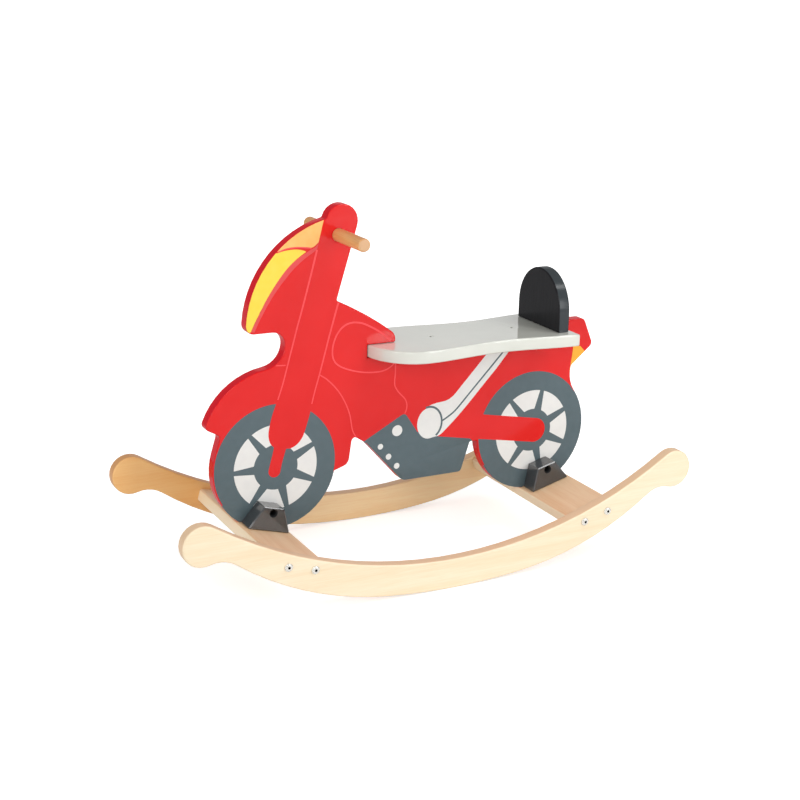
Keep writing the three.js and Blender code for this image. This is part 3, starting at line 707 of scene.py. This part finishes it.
light_lines = [
    stroke(flowing([
        (-142.9, 451.4), (-147.1, 435.2), (-151.8, 417.3), (-156.7, 399.4), (-161.3, 383.0),
        (-165.9, 366.5), (-170.9, 350.1), (-176.0, 331.0), (-181.5, 311.3), (-186.7, 291.9),
        (-192.7, 270.8), (-199.3, 251.6),
    ]), bold_line, fine_line),
    stroke(flowing([
        (-109.8, 382.0), (-114.5, 365.8), (-119.1, 349.9), (-124.6, 330.8), (-129.8, 311.4),
        (-135.0, 292.3), (-139.9, 274.8), (-145.1, 257.5), (-149.6, 240.0),
    ]), bold_line, fine_line),
    stroke(flowing([
        (-31.0, 316.5), (-42.0, 326.0), (-54.5, 334.8), (-69.9, 343.2), (-79.7, 346.6),
        (-89.9, 347.7), (-99.7, 345.4), (-107.7, 339.8), (-113.6, 331.6), (-117.6, 321.9),
        (-119.3, 312.0), (-118.6, 302.0), (-114.5, 293.9), (-107.3, 288.0), (-99.4, 284.0),
        (-89.6, 280.4), (-79.9, 277.6), (-67.5, 275.2), (-55.0, 274.1), (-45.3, 274.3),
        (-36.0, 276.4), (-28.0, 281.0), (-22.5, 288.0), (-20.0, 296.0),
    ]), bold_line, fine_line),
    stroke(flowing([
        (-137.6, 279.3), (-128.6, 273.1), (-120.5, 265.6), (-112.7, 256.9), (-105.9, 247.4),
        (-100.0, 236.8), (-95.2, 226.0), (-91.8, 215.4), (-89.9, 205.0), (-88.0, 195.0),
        (-84.0, 186.5), (-79.0, 181.0),
    ]), fine_line),
    stroke(flowing([
        (-23.1, 296.0), (-23.1, 280.0), (-23.1, 267.3), (-23.9, 258.7), (-23.0, 250.4),
        (-18.4, 242.4), (-12.6, 236.0), (-6.8, 229.6), (-4.0, 222.4), (-4.2, 215.0),
        (-6.6, 208.8),
    ]), fine_line),
    stroke(
        flowing([(-216.0, 302.6), (-205.0, 300.2), (-196.0, 299.0), (-188.0, 298.4)]), fine_line
    ),
    stroke(flowing([
        (-199.5, 451.9), (-192.0, 454.3), (-184.0, 456.0), (-172.0, 456.6), (-160.0, 455.6),
        (-151.0, 454.2),
    ]), fine_line),
]

wheel_plate = stencil(wheel_rings, plate_depth)
cut(wheel_plate, stencil(spokes, mask_depth), "DIFFERENCE")
pale_plates = [wheel_plate, stencil([exhaust, *engine_dots], plate_depth)]
dark_plates = [stencil([*tyres, engine], plate_depth)]
line_plates = [stencil([line], line_depth) for line in exhaust_lines]
light_plates = [stencil([line], plate_depth) for line in light_lines]
headlamp_plates = [stencil([headlamp], plate_depth)]
windscreen_plates = [stencil([windscreen], plate_depth)]
tail_lamp_plates = [stencil([tail_lamp], plate_depth)]
band_plates = [stencil([nose_band], plate_depth)]
bare = stencil([fork, swing_arm], mask_depth)

graphite_ink = screen_ink("graphite_screen_ink", "#58676d", "#556469")
silver_ink = screen_ink("pale_grey_screen_ink", "#e1e1de", "#dddddb")
yellow_ink = screen_ink("yellow_screen_ink", "#f6d450", "#f3d046")
peach_ink = screen_ink("peach_screen_ink", "#f8bd72", "#f5b766")
orange_ink = screen_ink("light_orange_screen_ink", "#f6b03a", "#f2a932")
coral_ink = screen_ink("light_red_screen_ink", "#f05155", "#ec4c50")
band_ink = screen_ink("dull_coral_screen_ink", "#dc4d50", "#d8494c")

for name, ink, slot, ground, plates, masks in (
    ("ink_silver", silver_ink, "print_silver", flat_skin, pale_plates, [bare, *line_plates]),
    ("ink_graphite", graphite_ink, "print_graphite", whole_skin, dark_plates, [*pale_plates, bare]),
    ("ink_exhaust_lines", graphite_ink, "print_graphite", flat_skin, line_plates, []),
    ("ink_yellow", yellow_ink, "print_yellow", half_round_skin, headlamp_plates, []),
    ("ink_windscreen", peach_ink, "print_orange", half_round_skin, windscreen_plates, []),
    ("ink_tail_lamp", orange_ink, "print_orange", half_round_skin, tail_lamp_plates, []),
    ("ink_band", band_ink, "print_coral", half_round_skin, band_plates, []),
    ("ink_lines", coral_ink, "print_coral", flat_skin, light_plates, []),
):
    printed(name, ink, ground, plates, masks)
for used in (flat_skin, half_round_skin, whole_skin):
    bpy.data.objects.remove(used)
for plate in [piece for piece in bpy.data.objects if piece.name.startswith("stencil")]:
    bpy.data.objects.remove(plate)

# HANDLEBAR
# A beech dowel through the head of the panel, its ends rounded, sanded and clear lacquered. The
# grain runs along it. Its top and bottom are painted darker, as painted shade, and the sawn ends
# are coloured a paler, greyer tan.
dowel_smooth = math.radians(40)
beech = lacquered_wood("beech_dowel_lacquered", "Y", "X", "#eab479", "#d99a5c", "#d2935a")
tone_by_side(beech, "Y", [(0.6, "#000000"), (0.9, "#d0d0d0")], "#d3b08a")
made_from("handlebar", "handlebar_dowel", beech, dowel_smooth)

# SEAT
# A waisted board with rounded edges, sprayed light grey and polished, so that it mirrors what
# stands on it. Its two screws are sunk flush and lacquered over, and their cross recesses are
# coloured dark steel, as painted shade.
recess_reach = 0.0018
recess_width = 0.0012
recess_depth = 0.0016
grey_cloud = 55.6
grey_peel = 6.25

# Polished lacquer: a mirror gloss over clouds 56 mm across, with a trace of peel of 6 mm.
grey_gloss = new_finish(
    "polished_grey_lacquer",
    {"IOR": 1.5, "Roughness": 0.08, "Coat Weight": 1.0, "Coat Roughness": 0.03},
)
grey_coords = add_node(grey_gloss, "TexCoord", {}, {})
clouded(grey_gloss, grey_coords["Object"], grey_cloud, 2.0, ("#cfd1c8", "#d6d7ce"))
toothed(grey_gloss, grey_coords["Object"], grey_peel, 1.0, strength=0.02, depth=0.0002)
made_from("seat_board", "seat_plank", grey_gloss)
for end in ("front", "rear"):
    low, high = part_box(f"seat_screw_{end}")
    axis = Vector(((low.x + high.x) / 2, (low.y + high.y) / 2))
    screw = made_from(f"seat_screw_{end}", f"sunk_screw_{end}", grey_gloss)
    screw.data.materials.append(recess_shade_steel)
    for size in ((2 * recess_reach, recess_width), (recess_width, 2 * recess_reach)):
        bpy.ops.object.select_all(action="DESELECT")
        bpy.ops.mesh.primitive_cube_add(size=1, location=(*axis, high.z))
        bit = bpy.context.object
        bit.scale = (*size, 2 * recess_depth)
        cut(screw, bit, "DIFFERENCE")
        bpy.data.objects.remove(bit)
    # Painted shade: the recess faces take the dark steel.
    for face in screw.data.polygons:
        sunk = high.z - recess_depth - hair_breadth < face.center.z < high.z - hair_breadth
        if sunk and (face.center.xy - axis).length < recess_reach + hair_breadth:
            face.material_index = 1

# BACKREST
# A small upright board with a round top, brushed with satin black paint. The grain of the wood
# shows through a little as fine upright furrows, and the narrow edge is painted greyer, as a
# painted reflection.
furrow_width = 1.389
furrow_length = 41.7

# Brushed paint: deep black and satin, with furrows 1.4 mm wide and 42 mm long, coarser than real
# ones so that they show.
black_paint = new_finish(
    "brushed_black_paint",
    {"IOR": 1.5, "Specular IOR Level": 0.0, "Coat Weight": 0.4, "Coat Roughness": 0.2},
)
paint_coords = add_node(black_paint, "TexCoord", {}, {})
upright = add_node(
    black_paint,
    "Mapping",
    {"Scale": (1, 1, furrow_width / furrow_length)},
    {"Vector": paint_coords["Object"]},
)
furrow = clouded(
    black_paint, upright[0], furrow_width, 3.0, ("#1a1a1d", "#212124"), (0.36, 0.46)
)
# Painted reflection: faces not turned to X take a greyer black.
tone_by_side(black_paint, "X", [(0.1, "#ffffff"), (0.5, "#000000")], "#393e41")
paint_relief = add_node(
    black_paint, "Bump", {"Strength": 0.1, "Distance": 0.0001}, {"Height": furrow}
)
wire(black_paint, Normal=paint_relief[0])
made_from("backrest", "backrest_board", black_paint)

# STAGE
# A pale floor that keeps the toy's shadow, three soft lamps in front, a long one above, a dim
# screen behind to the right, a white surround, and a camera that looks from the front left.
floor_gap = 0.0003
floor_size = 60
sensor_width = 36
lens_length = 69.175
camera_place = (-0.9660, -1.8289, 0.8516)
view_turn = math.radians(-27.5925)
view_lift = math.radians(16.8586)
view_roll = math.radians(1.2173)

floor_finish = bpy.data.materials.new("pale_floor")
floor_finish.use_nodes = True
floor_finish.node_tree.nodes.clear()
floor_matte = add_node(floor_finish, "BsdfDiffuse", {"Color": linear("#f0f0f0")}, {})
floor_coords = add_node(floor_finish, "TexCoord", {}, {})
floor_reach = add_node(
    floor_finish, "VectorMath", {"operation": "LENGTH"}, {0: floor_coords["Object"]}
)
floor_level = add_node(
    floor_finish,
    "MapRange",
    {"From Min": 0.3, "From Max": 3.0, "To Min": 0.52, "To Max": 0.92},
    {"Value": floor_reach["Value"]},
)
floor_path = add_node(floor_finish, "LightPath", {}, {})
floor_seen = add_node(
    floor_finish,
    "Math",
    {"operation": "MULTIPLY"},
    {0: floor_path["Is Camera Ray"], 1: floor_level[0]},
)
floor_glow = add_node(floor_finish, "Emission", {}, {"Strength": floor_seen[0]})
floor_sum = add_node(floor_finish, "AddShader", {}, {0: floor_matte[0], 1: floor_glow[0]})
add_node(floor_finish, "OutputMaterial", {}, {"Surface": floor_sum[0]})
bpy.ops.mesh.primitive_plane_add(size=floor_size, location=(0, 0, -floor_gap))
floor = bpy.context.object
floor.name = "floor"
floor.data.materials.append(floor_finish)

world = bpy.data.worlds.new("white_surround")
bpy.context.scene.world = world
world.use_nodes = True
world.node_tree.nodes.clear()
sky_path = add_node(world, "LightPath", {}, {})
sky_seen = add_node(
    world,
    "Math",
    {"operation": "MAXIMUM"},
    {0: sky_path["Is Camera Ray"], 1: sky_path["Is Transmission Ray"]},
)
sky_round = add_node(
    world, "MapRange", {"To Min": 0.58, "To Max": 0.26}, {"Value": sky_path["Is Glossy Ray"]}
)
sky_level = add_node(
    world, "MapRange", {"To Max": 1.0}, {"Value": sky_seen[0], "To Min": sky_round[0]}
)
sky = add_node(world, "Background", {"Color": linear("#ffffff")}, {"Strength": sky_level[0]})
add_node(world, "OutputWorld", {}, {"Surface": sky[0]})

# Each lamp's name, place, what it is turned to, width, height and watts.
for name, place, target, width, height, power in (
    ("lamp_right", (1.47, -2.76, 0.92), (0, 0, 0.2), 1.0, 1.0, 23),
    ("lamp_left", (-3.84, -2.07, 1.32), (0, 0, 0.2), 2.0, 2.0, 40),
    ("lamp_front", (-1.25, -2.35, 1.75), (0, 0, 0.2), 1.2, 0.9, 13),
    ("lamp_above", (1.25, -1.0, 2.3), (1.25, -1.0, 0), 1.6, 0.5, 22),
    ("screen_behind", (1.9, 3.0, 1.3), (0, 0, 0.4), 3.0, 1.6, 6),
):
    lamp_data = bpy.data.lights.new(name, "AREA")
    lamp_data.shape = "RECTANGLE"
    lamp_data.size = width
    lamp_data.size_y = height
    lamp_data.energy = power
    lamp = bpy.data.objects.new(name, lamp_data)
    lamp.location = place
    lamp.rotation_euler = (Vector(place) - Vector(target)).to_track_quat("Z", "Y").to_euler()
    lamp.visible_camera = False
    bpy.context.scene.collection.objects.link(lamp)

back = Vector((
    math.sin(view_turn) * math.cos(view_lift),
    -math.cos(view_turn) * math.cos(view_lift),
    math.sin(view_lift),
))
level = Vector((0, 0, 1)).cross(back).normalized()
overhead = back.cross(level)
across = math.cos(view_roll) * level + math.sin(view_roll) * overhead
upwards = -math.sin(view_roll) * level + math.cos(view_roll) * overhead
camera_data = bpy.data.cameras.new("camera")
camera_data.sensor_width = sensor_width
camera_data.lens = lens_length
camera = bpy.data.objects.new("camera", camera_data)
facing = Matrix((across, upwards, back)).transposed().to_4x4()
camera.matrix_world = Matrix.Translation(camera_place) @ facing
bpy.context.scene.collection.objects.link(camera)
bpy.context.scene.camera = camera
bpy.context.scene.view_settings.view_transform = "Standard"
